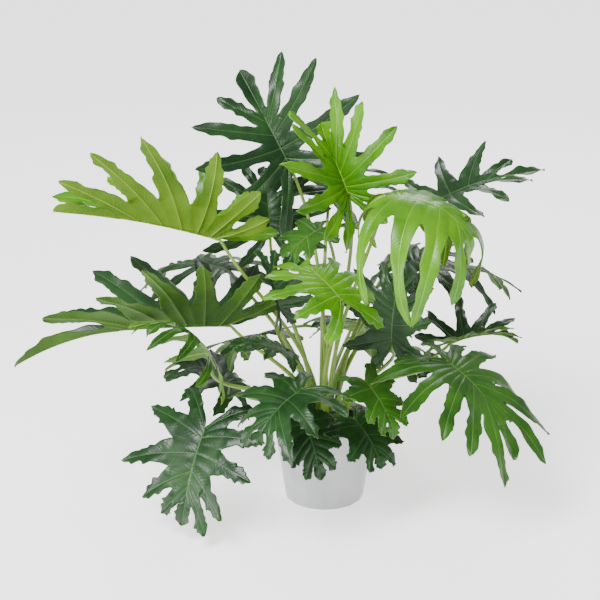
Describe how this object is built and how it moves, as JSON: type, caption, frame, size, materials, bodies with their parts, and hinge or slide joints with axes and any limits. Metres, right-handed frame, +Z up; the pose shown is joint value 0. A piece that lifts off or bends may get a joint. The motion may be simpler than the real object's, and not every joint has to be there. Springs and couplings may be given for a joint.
{
  "type": "potted split-leaf philodendron",
  "caption": "House plant with a clump of deeply lobed, arching leaves on long stalks, growing from soil in a tapered, panelled nursery pot.",
  "frame": {"origin": "middle of the pot's flat base", "axes": "+Z up, -Y towards the viewer of the picture, +X to the viewer's right"},
  "size_m": [0.9546, 0.7404, 0.7898],
  "materials": {
    "pot": "white, satin",
    "soil": "dark brown peat and bark, matt",
    "stalk": "light yellow-green, satin",
    "young_blade": "bright yellow-green, glossy",
    "adult_blade": "dark green, glossy"
  },
  "bodies": {
    "root": {"pot": "pot", "soil": "soil", "top_left_stalk": "stalk", "top_left_blade": "adult_blade", "left_raised_stalk": "stalk", "left_raised_blade": "young_blade", "crown_stalk": "stalk", "crown_blade": "young_blade", "right_hanging_stalk": "stalk", "right_hanging_blade": "young_blade", "top_right_stalk": "stalk", "top_right_blade": "adult_blade", "centre_stalk": "stalk", "centre_blade": "young_blade", "far_left_stalk": "stalk", "far_left_blade": "adult_blade", "mid_left_stalk": "stalk", "mid_left_blade": "adult_blade", "left_drooping_stalk": "stalk", "left_drooping_blade": "adult_blade", "low_left_stalk": "stalk", "low_left_blade": "adult_blade", "low_left_back_stalk": "stalk", "low_left_back_blade": "adult_blade", "low_centre_stalk": "stalk", "low_centre_blade": "adult_blade", "mid_centre_stalk": "stalk", "mid_centre_blade": "adult_blade", "pot_left_stalk": "stalk", "pot_left_blade": "adult_blade", "pot_right_stalk": "stalk", "pot_right_blade": "adult_blade", "low_right_stalk": "stalk", "low_right_blade": "adult_blade", "mid_right_stalk": "stalk", "mid_right_blade": "adult_blade", "dark_right_stalk": "stalk", "dark_right_blade": "adult_blade", "small_right_stalk": "stalk", "small_right_blade": "adult_blade", "heart_stalk": "stalk", "heart_blade": "adult_blade", "inner_right_stalk": "stalk", "inner_right_blade": "adult_blade", "inner_left_stalk": "stalk", "inner_left_blade": "adult_blade", "back_top_stalk": "stalk", "back_top_blade": "adult_blade", "back_right_stalk": "stalk", "back_right_blade": "adult_blade", "back_left_stalk": "stalk", "back_left_blade": "adult_blade", "back_low_right_stalk": "stalk", "back_low_right_blade": "adult_blade", "back_low_left_stalk": "stalk", "back_low_left_blade": "adult_blade", "right_low_back_stalk": "stalk", "right_low_back_blade": "adult_blade"}
  },
  "joints": []
}
